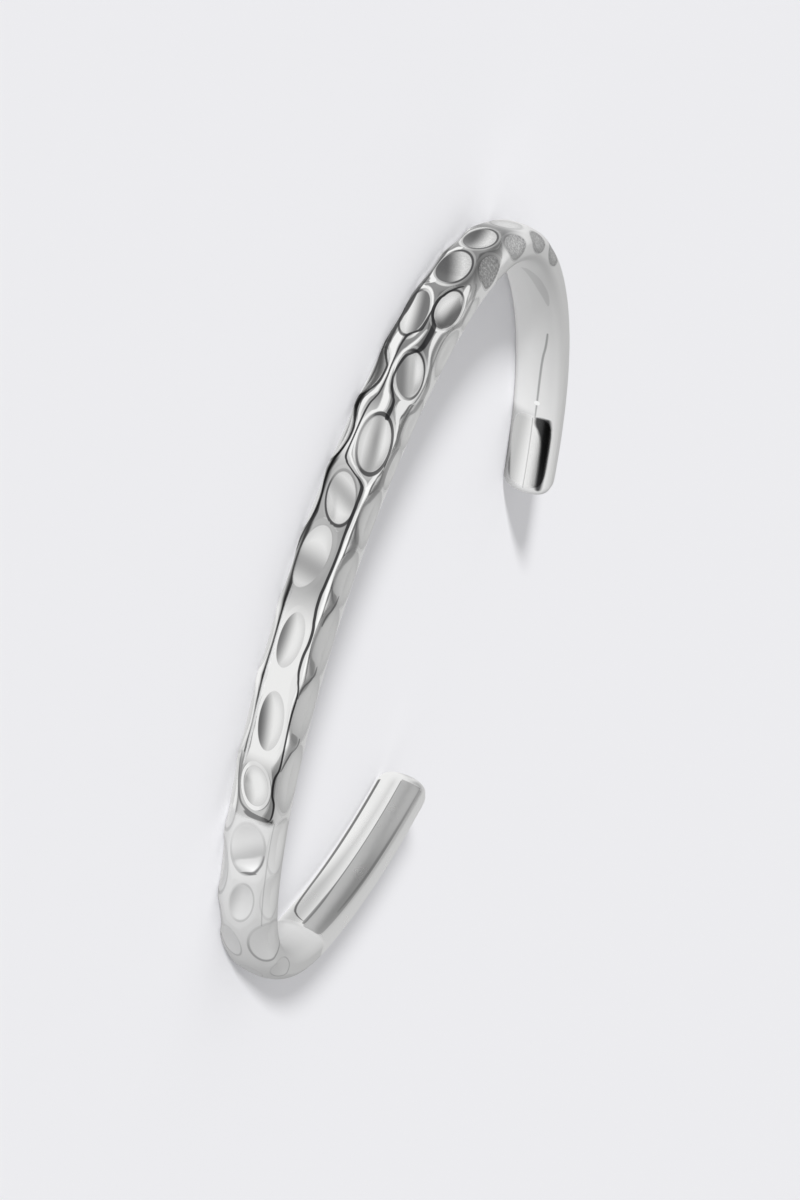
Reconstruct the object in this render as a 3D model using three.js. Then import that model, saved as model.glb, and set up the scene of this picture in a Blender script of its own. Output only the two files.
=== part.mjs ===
// An open silver bangle (cuff): one bent bar of rounded D section with a hammered back.
//
// Frame: millimetres, +Z up. The bangle lies on its side, so the plane of the loop is level,
// its long axis runs along X, its closed back faces -Y and its opening faces +Y. The origin is
// under the middle of its box.
//
// The bar is lofted along a plan curve made of arcs that run smoothly into each other. A place
// on its surface is "along" (mm from the middle of the back, + toward the +X arm) and "across"
// (mm of girth from the crown of the outer face, + toward +Z).
import * as THREE from 'three';

// ---------------------------------------------------------------- driving dimensions

// Plan of the two arms, from the middle of the back to each tip.
const PLAN_COLUMNS = ['radius', 'length'];
const PLAN = {
  left: table(PLAN_COLUMNS, [
    [36.0, 21.3], // back
    [20.4, 21.7], // shoulder
    [40.0, 35.6], // arm
  ]),
  right: table(PLAN_COLUMNS, [
    [40.2, 28.9],
    [17.3, 21.3],
    [41.8, 23.2],
  ]),
};
const ARC_BLEND = 6; // length over which one arc's curvature turns into the next one's
const PLAN_STEP = 0.1;

// Section of the bar.
const BAND_WIDTH = 4.75;
const CROWN_RISE = 1.32; // centre line to the crown of the outer face
const INNER_RISE = 1.72; // centre line to the ridge of the inner face
const OUTER_POWER = 2.1; // 2 is an ellipse, more is squarer
const INNER_POWER = 3.2;
const INNER_GABLE = 0.14; // fall of the inner face from its middle ridge to its edges
const SIDE_CUT = 0.04; // worn off each side, so that the bangle lies on a narrow flat
const TIP_LENGTH = 1.7;
const TIP_POWER = 2.5;

// Hammer marks. Each is an oval cup with a broad shallow shoulder round it.
const MARK_COLUMNS = ['along', 'across', 'halfLength', 'halfWidth', 'turn', 'depth'];
const CROWN_MARKS = table(MARK_COLUMNS, [
  [-45.6, 0.1, 1.7, 0.9, 0, 0.12],
  [-40.6, -0.2, 2, 1.1, 6, 0.2],
  [-35.2, 0, 1.9, 1.15, -6, 0.35],
  [-29.85, -0.25, 1.9, 1.2, 0, 0.41],
  [-25.2, -0.4, 1.95, 1.3, 6, 0.42],
  [-21, 1.15, 1.8, 0.95, 2, 0.36],
  [-19.9, -1.15, 2.15, 1.05, 9, 0.38],
  [-14.8, 0.9, 1.85, 1, 18, 0.38],
  [-9, 0.65, 2.15, 1.2, 11, 0.41],
  [-4.6, -0.15, 1.9, 1.1, 18, 0.39],
  [-0.1, -0.75, 2.35, 1.25, -9, 0.41],
  [5.9, -0.25, 2.05, 0.95, -2, 0.36],
  [11.95, -0.05, 2.25, 1, 5, 0.36],
  [17.15, -0.1, 1.55, 1, 14, 0.35],
  [22.6, 0.1, 2.2, 1.35, 0, 0.45],
  [27.9, 0.1, 1.95, 0.95, -8, 0.34],
  [33.2, -0.9, 1.9, 0.95, 4, 0.2],
  [38.6, 0.1, 1.7, 0.9, -4, 0.12],
]);
const TOP_FLANK_MARKS = table(MARK_COLUMNS, [
  [-43.2, 2.7, 2, 0.9, 0, 0.16],
  [-37.6, 2.6, 2, 0.95, -6, 0.22],
  [-32.1, 2.35, 1.9, 1.1, -4, 0.3],
  [-26.6, 2.25, 1.7, 1, 12, 0.27],
  [-22.3, 3.1, 1.7, 0.75, 0, 0.24],
  [-18, 2.95, 2.2, 0.9, 0, 0.3],
  [-11.6, 2.95, 2.1, 0.85, 0, 0.28],
  [-8, 2.95, 1.7, 0.85, 0, 0.27],
  [-3.9, 2.65, 2.2, 1.05, 5, 0.31],
  [0.6, 2.5, 2.1, 1.1, 5, 0.32],
  [5.3, 2.45, 2.7, 1.1, 3, 0.34],
  [10.5, 2.4, 2.7, 1.15, -2, 0.34],
  [16.1, 2.65, 2.9, 1.1, 0, 0.33],
  [22, 2.7, 2.6, 1, 0, 0.3],
  [27, 2.65, 2.3, 1, 0, 0.26],
  [32.6, 2.5, 2.6, 1.65, 4, 0.34],
  [38.6, 2.8, 2, 0.9, 4, 0.14],
]);
const UNDER_FLANK_MARKS = table(MARK_COLUMNS, [
  [-45, -2.6, 2.1, 0.9, 0, 0.14],
  [-40.3, -2.5, 2.1, 1, 5, 0.22],
  [-35, -2.5, 2.3, 1.1, -4, 0.34],
  [-29.9, -2.75, 2.2, 1.05, 3, 0.36],
  [-24.8, -2.95, 2.2, 0.95, 0, 0.36],
  [-19.5, -3.2, 2, 0.8, 0, 0.31],
  [-14.4, -2.3, 2.05, 1.25, -5, 0.43],
  [-9.3, -2.55, 2.15, 1.15, 0, 0.41],
  [-3.9, -2.9, 2.1, 1, 4, 0.38],
  [1.4, -3.1, 2.1, 0.9, 0, 0.34],
  [6.6, -2.75, 2.2, 1, -4, 0.38],
  [12.6, -2.6, 2.7, 1.05, 0, 0.4],
  [19.1, -2.5, 2.8, 1.1, 4, 0.41],
  [25.6, -2.45, 2.7, 1.1, 0, 0.38],
  [31.6, -2.6, 2.4, 1, -4, 0.34],
  [37.2, -2.6, 2.2, 0.9, 0, 0.16],
]);
const MARKS = [...CROWN_MARKS, ...TOP_FLANK_MARKS, ...UNDER_FLANK_MARKS];
const SHOULDER_REACH = 1.55; // shoulder's size, over the cup's
const SHOULDER_SHARE = 0.34; // depth of the shoulder, over the cup's
const HAMMER_EDGE = 3.3; // girth from the crown past which the sides are plain
const HAMMER_FADE = 0.7;

// Fineness of the solid.
const HAMMERED_FROM = -48;
const HAMMERED_TO = 41;
const FINE_RING = 0.68;
const PLAIN_RING = 2.2;
const TIP_RINGS = 5;
const OUTER_STEPS = 10; // from the crown to the plain part of each side
const INNER_SHARES = [0.08, 0.24, 0.45, 0.72]; // of the girth left, from there to the inner ridge

const SILVER = new THREE.MeshStandardMaterial({ color: 0xd9d9d6, metalness: 1, roughness: 0.16 });
SILVER.name = 'polished_silver';

// ---------------------------------------------------------------- plan curve

function table(columns, rows) {
  return rows.map((row) => Object.fromEntries(columns.map((name, i) => [name, row[i]])));
}

function smooth(t) {
  const u = THREE.MathUtils.clamp(t, 0, 1);
  return u * u * (3 - 2 * u);
}

function curvature(arcs, distance) {
  let bend = 1 / arcs[0].radius;
  let start = 0;
  for (let i = 1; i < arcs.length; i += 1) {
    start += arcs[i - 1].length;
    const share = smooth((distance - start) / ARC_BLEND + 0.5);
    bend += (1 / arcs[i].radius - 1 / arcs[i - 1].radius) * share;
  }
  return bend;
}

// Walks one arm from the middle of the back, and keeps its points and headings.
function walkArm(arcs, side) {
  const length = arcs.reduce((sum, arc) => sum + arc.length, 0);
  const steps = Math.round(length / PLAN_STEP);
  const step = length / steps;
  const path = [{ x: 0, y: 0, heading: 0 }];
  for (let i = 0; i < steps; i += 1) {
    const last = path[i];
    const middle = last.heading + 0.5 * step * curvature(arcs, i * step);
    const heading = last.heading + step * curvature(arcs, (i + 0.5) * step);
    path.push({ x: last.x + step * Math.cos(middle), y: last.y + step * Math.sin(middle), heading });
  }
  return { path, step, length, side };
}

const LEFT_ARM = walkArm(PLAN.left, -1);
const RIGHT_ARM = walkArm(PLAN.right, 1);

// The plan point at a distance along the bar, with the direction that faces out of the loop.
function planAt(along) {
  const arm = along < 0 ? LEFT_ARM : RIGHT_ARM;
  const place = Math.min(Math.abs(along) / arm.step, arm.path.length - 1.000001);
  const i = Math.floor(place);
  const [a, b] = [arm.path[i], arm.path[i + 1]];
  const mix = (name) => THREE.MathUtils.lerp(a[name], b[name], place - i);
  const heading = mix('heading');
  return {
    x: arm.side * mix('x'),
    y: mix('y'),
    outX: arm.side * Math.sin(heading),
    outY: -Math.cos(heading),
  };
}

// ---------------------------------------------------------------- section

// A point of the plain section at an angle from the crown, as out (away from the wrist) and z.
function sectionAt(angle) {
  const [c, s] = [Math.cos(angle), Math.sin(angle)];
  const power = 2 / (c > 0 ? OUTER_POWER : INNER_POWER);
  const half = BAND_WIDTH / 2;
  const side = Math.sign(s) * Math.abs(s) ** power * half;
  const reach = Math.abs(c) ** power;
  const gable = INNER_GABLE * (1 - Math.abs(side) / half);
  const out = c > 0 ? reach * CROWN_RISE : -reach * (INNER_RISE - INNER_GABLE) - gable;
  return { out, z: THREE.MathUtils.clamp(side, SIDE_CUT - half, half - SIDE_CUT) };
}

// The section as a closely spaced line from the crown round the +Z side to the inner ridge.
function traceSection() {
  const steps = 720;
  const line = [];
  let girth = 0;
  for (let i = 0; i <= steps; i += 1) {
    const point = sectionAt((Math.PI * i) / steps);
    if (i > 0) {
      girth += Math.hypot(point.out - line[i - 1].out, point.z - line[i - 1].z);
    }
    line.push({ ...point, girth });
  }
  return line;
}

const SECTION = traceSection();
const HALF_GIRTH = SECTION[SECTION.length - 1].girth;

// The section point and its outward direction at a girth from the crown.
function sectionAtGirth(across) {
  const girth = Math.min(Math.abs(across), HALF_GIRTH);
  const found = SECTION.findIndex((point) => point.girth >= girth);
  const i = Math.max(found, 1);
  const [a, b] = [SECTION[i - 1], SECTION[i]];
  const share = (girth - a.girth) / (b.girth - a.girth);
  const [before, after] = [SECTION[Math.max(i - 6, 0)], SECTION[Math.min(i + 5, SECTION.length - 1)]];
  const run = Math.hypot(after.out - before.out, after.z - before.z);
  const side = across < 0 ? -1 : 1;
  return {
    out: THREE.MathUtils.lerp(a.out, b.out, share),
    z: side * THREE.MathUtils.lerp(a.z, b.z, share),
    normalOut: (after.z - before.z) / run,
    normalZ: (-side * (after.out - before.out)) / run,
  };
}

// ---------------------------------------------------------------- hammering

function pressed(mark, along, across) {
  const turn = THREE.MathUtils.degToRad(mark.turn);
  const [da, dc] = [along - mark.along, across - mark.across];
  const lengthwise = (da * Math.cos(turn) + dc * Math.sin(turn)) / mark.halfLength;
  const crosswise = (dc * Math.cos(turn) - da * Math.sin(turn)) / mark.halfWidth;
  const spread = lengthwise ** 2 + crosswise ** 2;
  const cup = mark.depth * (1 - SHOULDER_SHARE) * Math.max(0, 1 - spread);
  const shoulder = mark.depth * SHOULDER_SHARE * Math.max(0, 1 - spread / SHOULDER_REACH ** 2);
  return cup + shoulder;
}

function hammered(along, across) {
  const share = smooth((HAMMER_EDGE - Math.abs(across)) / HAMMER_FADE);
  return share * Math.max(...MARKS.map((mark) => pressed(mark, along, across)));
}

// ---------------------------------------------------------------- loft

function spread(from, to, spacing) {
  const count = Math.round((to - from) / spacing);
  return Array.from({ length: count }, (unused, i) => from + ((to - from) * i) / count);
}

// Rings along the bar, each with its place and its size over the full section.
function ringStations() {
  const [first, last] = [-LEFT_ARM.length, RIGHT_ARM.length];
  const tip = [];
  for (let i = 1; i <= TIP_RINGS; i += 1) {
    const angle = (Math.PI / 2) * (i / (TIP_RINGS + 1)) ** 0.8;
    const size = (1 - Math.sin(angle) ** TIP_POWER) ** (1 / TIP_POWER);
    tip.push({ inset: TIP_LENGTH * (1 - Math.sin(angle)), size });
  }
  const body = [
    ...spread(first + TIP_LENGTH, HAMMERED_FROM, PLAIN_RING),
    ...spread(HAMMERED_FROM, HAMMERED_TO, FINE_RING),
    ...spread(HAMMERED_TO, last - TIP_LENGTH, PLAIN_RING),
    last - TIP_LENGTH,
  ];
  return [
    ...[...tip].reverse().map(({ inset, size }) => ({ along: first + inset, size })),
    ...body.map((along) => ({ along, size: 1 })),
    ...tip.map(({ inset, size }) => ({ along: last - inset, size })),
  ];
}

// Places round the section, from the inner ridge round the -Z side, the crown and the +Z side.
function girthStations() {
  const outer = spread(0, HAMMER_EDGE, HAMMER_EDGE / OUTER_STEPS);
  const inner = INNER_SHARES.map((share) => THREE.MathUtils.lerp(HAMMER_EDGE, HALF_GIRTH, share));
  const half = [...outer.slice(1), HAMMER_EDGE, ...inner];
  return [-HALF_GIRTH, ...half.map((across) => -across).reverse(), 0, ...half];
}

function surfacePoint(station, across) {
  const plan = planAt(station.along);
  const section = sectionAtGirth(across);
  const press = hammered(station.along, across);
  const middle = (CROWN_RISE - INNER_RISE) / 2;
  const out = middle + (section.out - press * section.normalOut - middle) * station.size;
  const z = (section.z - press * section.normalZ) * station.size;
  return [plan.x + plan.outX * out, plan.y + plan.outY * out, z];
}

function tipPoint(along) {
  const plan = planAt(along);
  const middle = (CROWN_RISE - INNER_RISE) / 2;
  return [plan.x + plan.outX * middle, plan.y + plan.outY * middle, 0];
}

function barGeometry() {
  const rings = ringStations();
  const girths = girthStations();
  const round = girths.length;
  const points = rings.flatMap((ring) => girths.map((across) => surfacePoint(ring, across)));
  points.push(tipPoint(-LEFT_ARM.length), tipPoint(RIGHT_ARM.length));
  const [firstTip, lastTip] = [points.length - 2, points.length - 1];
  const faces = [];
  for (let k = 0; k < round; k += 1) {
    const next = (k + 1) % round;
    faces.push(firstTip, k, next);
    const end = (rings.length - 1) * round;
    faces.push(lastTip, end + next, end + k);
    for (let ring = 0; ring < rings.length - 1; ring += 1) {
      const [a, b] = [ring * round + k, ring * round + next];
      const [c, d] = [a + round, b + round];
      faces.push(a, d, b, a, c, d);
    }
  }
  const geometry = new THREE.BufferGeometry();
  geometry.setAttribute('position', new THREE.Float32BufferAttribute(points.flat(), 3));
  geometry.setIndex(faces);
  geometry.computeBoundingBox();
  const box = geometry.boundingBox;
  const centre = box.getCenter(new THREE.Vector3());
  geometry.translate(-centre.x, -centre.y, -box.min.z);
  geometry.computeVertexNormals();
  return geometry;
}

const bangle = new THREE.Group();
bangle.name = 'hammered_bangle';
const cuff = new THREE.Mesh(barGeometry(), SILVER);
cuff.name = 'cuff';
bangle.add(cuff);

export default bangle;
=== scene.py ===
import math

import bpy
from mathutils import Matrix, Vector


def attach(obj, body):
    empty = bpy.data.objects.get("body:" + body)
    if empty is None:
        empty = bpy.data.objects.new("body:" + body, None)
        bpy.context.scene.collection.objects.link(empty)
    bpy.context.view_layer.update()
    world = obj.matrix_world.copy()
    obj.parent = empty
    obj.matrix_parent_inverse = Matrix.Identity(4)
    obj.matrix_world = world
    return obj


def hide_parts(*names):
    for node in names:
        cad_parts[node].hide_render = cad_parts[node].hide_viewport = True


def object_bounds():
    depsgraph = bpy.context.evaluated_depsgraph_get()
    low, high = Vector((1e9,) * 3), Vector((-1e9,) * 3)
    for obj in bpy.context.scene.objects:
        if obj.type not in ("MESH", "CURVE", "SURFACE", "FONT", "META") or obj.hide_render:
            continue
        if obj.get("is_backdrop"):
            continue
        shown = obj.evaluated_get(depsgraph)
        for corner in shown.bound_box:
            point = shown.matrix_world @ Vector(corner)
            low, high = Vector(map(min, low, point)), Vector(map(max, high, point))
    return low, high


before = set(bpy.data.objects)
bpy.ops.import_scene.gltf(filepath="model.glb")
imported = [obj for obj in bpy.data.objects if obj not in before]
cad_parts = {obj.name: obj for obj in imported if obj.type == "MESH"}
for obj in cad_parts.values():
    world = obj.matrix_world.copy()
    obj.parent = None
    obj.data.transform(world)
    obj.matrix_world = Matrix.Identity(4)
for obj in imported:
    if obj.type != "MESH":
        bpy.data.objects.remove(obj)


def plain(value):
    """A vector, or a nest of them, as plain lists of numbers."""
    if hasattr(value, "__len__"):
        return [plain(part) for part in value]
    return float(value)


CAD_BOX = plain(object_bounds())
MM = 0.001

# ------------------------------------------------------------------ sizes, in millimetres

# Columns of an arm's arcs: radius, length.
LEFT_PLAN = (
    (36.0, 21.3),
    (20.4, 21.7),
    (40.0, 35.6),
)
RIGHT_PLAN = (
    (40.2, 28.9),
    (17.3, 21.3),
    (41.8, 23.2),
)
ARC_BLEND = 6.0
PLAN_STEP = 0.1

BAND_WIDTH = 4.75
CROWN_RISE = 1.32
INNER_RISE = 1.72
OUTER_POWER = 2.1
INNER_POWER = 3.2
INNER_GABLE = 0.14
SIDE_CUT = 0.04
TIP_LENGTH = 1.7
TIP_POWER = 2.5

# Columns of the marks: along, across, half length, half width, turn in degrees, depth, then how
# strong its lip is, and how satin it is. A lip above 1 is a strong dark outline with hardly any
# bright bead, and a lip below 0 is the bead alone. A crown mark also holds a painted shade on the
# side of its cup away from the light: the angle of its light side from along towards across,
# where the dark starts and stops over the half sizes towards that side, and how dark it is, from
# 0 to 1.
CROWN_MARKS = (
    (-45.6, 0.1, 1.7, 0.9, 0, 0.12, 0.2, 0.35, 0, 0, 0, 0),
    (-40.6, -0.2, 2.0, 1.1, 6, 0.2, 0.2, 0.35, 0, 0, 0, 0),
    (-35.2, 0.0, 1.9, 1.15, -6, 0.35, 0.4, 0.35, 0, 0, 0, 0),
    (-29.85, -0.25, 1.9, 1.2, 0, 0.41, 1.1, 0.35, 95, -2, 0.05, 0.88),
    (-25.2, -0.4, 1.95, 1.3, 6, 0.42, 1.1, 0.35, 115, -2, 0.15, 0.88),
    (-21.0, 1.15, 1.8, 0.95, 2, 0.36, 1, 0.35, 235, -2, 0, 0.8),
    (-19.9, -1.15, 2.15, 1.05, 9, 0.38, 1, 0.35, 280, -2, 0.05, 0.82),
    (-14.8, 0.9, 1.85, 1.0, 18, 0.38, 1, 0.35, 100, -2, -0.05, 0.75),
    (-9.0, 0.65, 2.15, 1.2, 11, 0.41, 2.4, 0.35, 85, -0.25, 0.1, 0.9),
    (-4.6, -0.15, 1.9, 1.1, 18, 0.39, 1.3, 0.35, -30, -0.45, 0, 0.8),
    (-0.1, -0.75, 2.35, 1.25, -9, 0.41, -0.12, 0.35, 0, 0, 0.6, 0.78),
    (5.9, -0.25, 2.05, 0.95, -2, 0.36, -0.3, 0.35, 90, -2, -0.4, 0.8),
    (11.95, -0.05, 2.25, 1.0, 5, 0.36, -0.4, 0.35, 100, -2, -0.35, 0.86),
    (17.15, -0.1, 1.55, 1.0, 14, 0.35, -1.5, 0.35, 110, -2, -0.7, 0.65),
    (22.6, 0.1, 2.2, 1.35, 0, 0.45, 0.4, 0.35, 22, 0.2, 0.72, 0.55),
    (27.9, 0.1, 1.95, 0.95, -8, 0.34, 0.3, 0.35, 90, -2, -0.6, 0.25),
    (33.2, -0.9, 1.9, 0.95, 4, 0.2, 0.35, 0.35, 0, 0, 0, 0),
    (38.6, 0.1, 1.7, 0.9, -4, 0.12, 0.2, 0.35, 0, 0, 0, 0),
)
TOP_FLANK_MARKS = (
    (-43.2, 2.7, 2.0, 0.9, 0, 0.16, 0.3, 1),
    (-37.6, 2.6, 2.0, 0.95, -6, 0.22, 0.3, 1),
    (-32.1, 2.35, 1.9, 1.1, -4, 0.3, 0.3, 1),
    (-26.6, 2.25, 1.7, 1.0, 12, 0.27, 0.3, 1),
    (-22.3, 3.1, 1.7, 0.75, 0, 0.24, 0.15, 1),
    (-18.0, 2.95, 2.2, 0.9, 0, 0.3, 0.15, 1),
    (-11.6, 2.95, 2.1, 0.85, 0, 0.28, 0.15, 1),
    (-8.0, 2.95, 1.7, 0.85, 0, 0.27, 0.15, 1),
    (-3.9, 2.65, 2.2, 1.05, 5, 0.31, 0.15, 1),
    (0.6, 2.5, 2.1, 1.1, 5, 0.32, 0.15, 1),
    (5.3, 2.45, 2.7, 1.1, 3, 0.34, 0.15, 1),
    (10.5, 2.4, 2.7, 1.15, -2, 0.34, 0.15, 1),
    (16.1, 2.65, 2.9, 1.1, 0, 0.33, 0.15, 1),
    (22.0, 2.7, 2.6, 1.0, 0, 0.3, 0.15, 1),
    (27.0, 2.65, 2.3, 1.0, 0, 0.26, 0.15, 1),
    (32.6, 2.5, 2.6, 1.65, 4, 0.34, 0.55, 1),
    (38.6, 2.8, 2.0, 0.9, 4, 0.14, 0.4, 1),
)
UNDER_FLANK_MARKS = (
    (-45.0, -2.6, 2.1, 0.9, 0, 0.14, 0.6, 0.5),
    (-40.3, -2.5, 2.1, 1.0, 5, 0.22, 0.6, 0.5),
    (-35.0, -2.5, 2.3, 1.1, -4, 0.34, 0.6, 0.5),
    (-29.9, -2.75, 2.2, 1.05, 3, 0.36, 0.6, 0.5),
    (-24.8, -2.95, 2.2, 0.95, 0, 0.36, 0.6, 0.5),
    (-19.5, -3.2, 2.0, 0.8, 0, 0.31, 0.6, 0.5),
    (-14.4, -2.3, 2.05, 1.25, -5, 0.43, 0.6, 0.5),
    (-9.3, -2.55, 2.15, 1.15, 0, 0.41, 0.6, 0.5),
    (-3.9, -2.9, 2.1, 1.0, 4, 0.38, 0.6, 0.5),
    (1.4, -3.1, 2.1, 0.9, 0, 0.34, 0.6, 0.5),
    (6.6, -2.75, 2.2, 1.0, -4, 0.38, 0.3, 0.5),
    (12.6, -2.6, 2.7, 1.05, 0, 0.4, 0.3, 0.5),
    (19.1, -2.5, 2.8, 1.1, 4, 0.41, 0.3, 0.5),
    (25.6, -2.45, 2.7, 1.1, 0, 0.38, 0.3, 0.5),
    (31.6, -2.6, 2.4, 1.0, -4, 0.34, 0.3, 0.5),
    (37.2, -2.6, 2.2, 0.9, 0, 0.16, 0.3, 0.5),
)
MARKS = CROWN_MARKS + TOP_FLANK_MARKS + UNDER_FLANK_MARKS
NO_SIDE_SHADE = (0.0, 0.0, 0.0, 0.0)
SIDE_SHADE_EDGE = 0.6
SHOULDER_REACH = 1.55
SHOULDER_SHARE = 0.34
HAMMER_EDGE = 3.3
HAMMER_FADE = 0.7
RIM_SOFTNESS = 0.1
RIDGE_SHARPNESS = 8.0

HAMMERED_FROM = -48.0
HAMMERED_TO = 41.0
FINE_RING = 0.15
PLAIN_RING = 0.7
TIP_RINGS = 16
TIP_CROWDING = 0.8
SECTION_STEPS = 1440
GIRTH_FACES = 120
GIRTH_CROWDING = 0.35
MERGE_DISTANCE = 1e-7
NO_CUP = -9.0

WAVINESS = 0.02
WAVE_LENGTH = 2.6
WAVE_DETAIL = 1.0
WAVE_SEED = 7.0

# ------------------------------------------------------------------ finish, and painted light and shade

# Darkness, roughness and shares go from 0 to 1. A span is where a fade starts and where it ends,
# and a window is where it starts, where it stops and how wide its edges are.

# The colour runs from the dark tone to the silver tone; most of its dark is painted shade and
# painted dark reflection.
SILVER_TONE = (0.93, 0.93, 0.925, 1.0)
DARK_TONE = (0.035, 0.035, 0.037, 1.0)

# Painted shade and painted dark reflection on the lands between the marks of the crown, in three
# stretches of the back.
SHOULDER_SHADE = 0.74
SHOULDER_WINDOW = (-33.5, -11.0, 3.5)
MIDDLE_SHADE = 0.55
MIDDLE_WINDOW = (-7.5, 3.4, 3.5)
LAST_SHADE = 0.36
LAST_WINDOW = (15.2, 21.0, 1.5)
SHADE_CLOUD = 0.5
CROWN_SPAN = (1.2, 2.4)

# In and round a mark, by the attribute cup: 1 in its middle, 0 on its rim and below 0 outside.
# The cup shade is painted shade inside a mark towards its rim, the outline painted shade in its
# rim, and the bead a painted highlight round it, also raised a little.
CUP_SHADE = 0.2
CUP_SHADE_SPAN = (0.0, 0.9)
CUP_RIM_SPAN = (-0.05, 0.06)
LIT_SIDE_SPAN = (-0.7, 0.3)
LIT_SIDE_SHARES = (0.3, 1.0)
OUTLINE_DARKNESS = 0.85
OUTLINE_WINDOW = (-0.24, 0.02, 0.16)
BEAD_WINDOW = (-0.55, -0.05, 0.2)
BEAD_SHARE = 1.3
STRONG_LIP_SPAN = (1.0, 1.25)
STRONG_LIP_BEAD = 0.15
FACET_DARKNESS = 0.25
FACET_WINDOW = (-48.0, -24.4, 0.5)
SPECKLE = 0.3
SPECKLE_SPAN = (0.35, 0.6)

# Frost on both bends. On the left its border slants over the flank.
LEFT_FROST_WINDOW = (-90.0, -32.0, 0.7)
RIGHT_FROST_WINDOW = (20.0, 49.5, 0.7)
FROST_SLANT = 1.9
FROST_RISE = 0.6
FROST_WIDTH = 2.4
FROST_METALLIC = 0.5
FROST_DARKNESS = (0.3, 0.355)
INNER_FROST_DARKNESS = (0.16, 0.34)
SIDE_SPAN = (-1.0, 1.0)
INNER_SPAN = (4.0, 4.7)

LAND_ROUGHNESS = 0.07
FOLD_ROUGHNESS = 0.36
FOLD_EDGE = 0.6
CUP_ROUGHNESS = 0.5
TIP_ROUGHNESS = 0.2
ARM_ROUGHNESS = 0.28
ARM_WINDOW = (49.0, 80.0, 1.0)
FROST_ROUGHNESS = 0.6
CLOUD_ROUGHNESS = 0.06
SCRATCH_ROUGHNESS = 0.04

# Columns of the noises: scale, detail, roughness.
CLOUD_NOISE = (260.0, 3.0, 0.5)
GRAIN_NOISE = (6000.0, 2.0, 0.6)
SCRATCH_NOISE = (2.2, 4.0, 0.7)
SCRATCH_STRETCH = (0.55, 7.0, 1.0)
SCRATCH_SPAN = (0.62, 0.78)

# Heights in the finish, in metres.
BEAD_HEIGHT = 2.0e-5
GROOVE_DEPTH = 1.5e-5
GRAIN_HEIGHT = 2.0e-6
SCRATCH_DEPTH = 1.0e-6

# Round patches: middle and half sizes along and round the girth, and how square they are.
# The first patch is a painted highlight, a small white glint.
HIGHLIGHT_SPOT = ((-67.0, 6.15), (0.3, 0.3), 2.0)
TIP_PATCH = ((-73.1, 6.4), (4.3, 1.95), 4.0)
PATCH_EDGE = 0.2

# Strokes drawn along the bar: the dark ones are painted shade and painted dark reflections along
# ridges, creases and edges, and the light ones painted highlights. Columns of their places:
# along, across, half width. Where the half width is below 0 the stroke is hidden.
RIDGE_SHADE_LINE = (
    (-20.6, 0.02, 0.02), (-19.5, 0.12, 0.1), (-18.7, 0.1, 0.14), (-18.2, -0.15, 0.16),
    (-17.8, -0.6, 0.14), (-17.3, -0.74, 0.1), (-16.5, -0.76, 0.07), (-15.0, -0.7, 0.06),
    (-13.9, -0.58, 0.06), (-13.0, -0.56, 0.06), (-12.2, -0.72, 0.07), (-11.5, -0.95, 0.08),
    (-10.5, -1.03, 0.08), (-9.0, -1.03, 0.07), (-7.8, -1.02, 0.09), (-7.2, -0.78, 0.1),
    (-6.8, -0.3, 0.1), (-6.4, 0.3, 0.11), (-6.0, 0.85, 0.13), (-5.6, 1.08, 0.14),
    (-4.6, 1.13, 0.12), (-3.5, 1.12, 0.13), (-2.0, 1.1, 0.1), (-1.0, 1.12, 0.1),
    (1.5, 0.98, 0.11), (2.5, 0.9, 0.11), (4.0, 1.02, 0.11), (5.2, 1.17, 0.11),
    (7.2, 1.0, 0.1), (8.5, 1.18, 0.08), (9.7, 1.4, 0.07), (11.2, 1.36, 0.08),
    (13.5, 1.42, 0.07), (15.2, 1.45, 0.08), (16.3, 1.22, 0.09), (17.4, 1.3, 0.09),
    (18.8, 1.6, 0.08), (19.7, 1.3, 0.04),
)
VALLEY = (
    (-23.5, 1.25, 0.04), (-22.8, 0.7, 0.1), (-22.0, 0.3, 0.1), (-21.0, 0.08, 0.11),
    (-20.2, 0.22, 0.12), (-19.5, 0.6, 0.16), (-18.9, 0.85, 0.2), (-17.6, 0.88, 0.2),
    (-16.9, 0.75, 0.2), (-16.4, 0.28, 0.13), (-15.7, -0.12, 0.1), (-14.7, -0.2, 0.09),
    (-13.6, 0.0, 0.09), (-12.7, 0.48, 0.1), (-12.0, 0.74, 0.11), (-11.3, 0.72, 0.17),
    (-10.9, 0.75, 0.1),
)
UNDER_EDGE = (
    (-31.5, -1.6, 0.04), (-30.0, -1.85, 0.2), (-28.0, -1.9, 0.2), (-26.5, -2.0, 0.3),
    (-25.0, -2.1, 0.34), (-23.5, -2.0, 0.34), (-22.0, -2.15, 0.3), (-20.0, -2.2, 0.25),
    (-19.0, -2.1, 0.18), (-17.6, -1.98, 0.18),
    (-16.5, -1.95, 0.2), (-15.8, -1.7, 0.15), (-15.2, -1.28, 0.13), (-14.5, -1.0, 0.12),
    (-13.8, -1.0, 0.12), (-13.2, -1.18, 0.14), (-12.6, -1.65, 0.17), (-12.0, -1.95, 0.24),
    (-11.2, -2.1, 0.28), (-10.6, -1.9, 0.22), (-10.0, -1.55, 0.13), (-9.2, -1.36, 0.12),
    (-8.4, -1.48, 0.13), (-7.6, -1.75, 0.16), (-6.8, -2.0, 0.17), (-5.8, -2.02, 0.14),
    (-4.8, -1.82, 0.1), (-3.9, -1.7, 0.09), (-3.0, -1.82, 0.12), (-2.0, -2.1, 0.15),
    (-1.0, -2.3, 0.12), (0.5, -2.4, 0.05),
)
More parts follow.
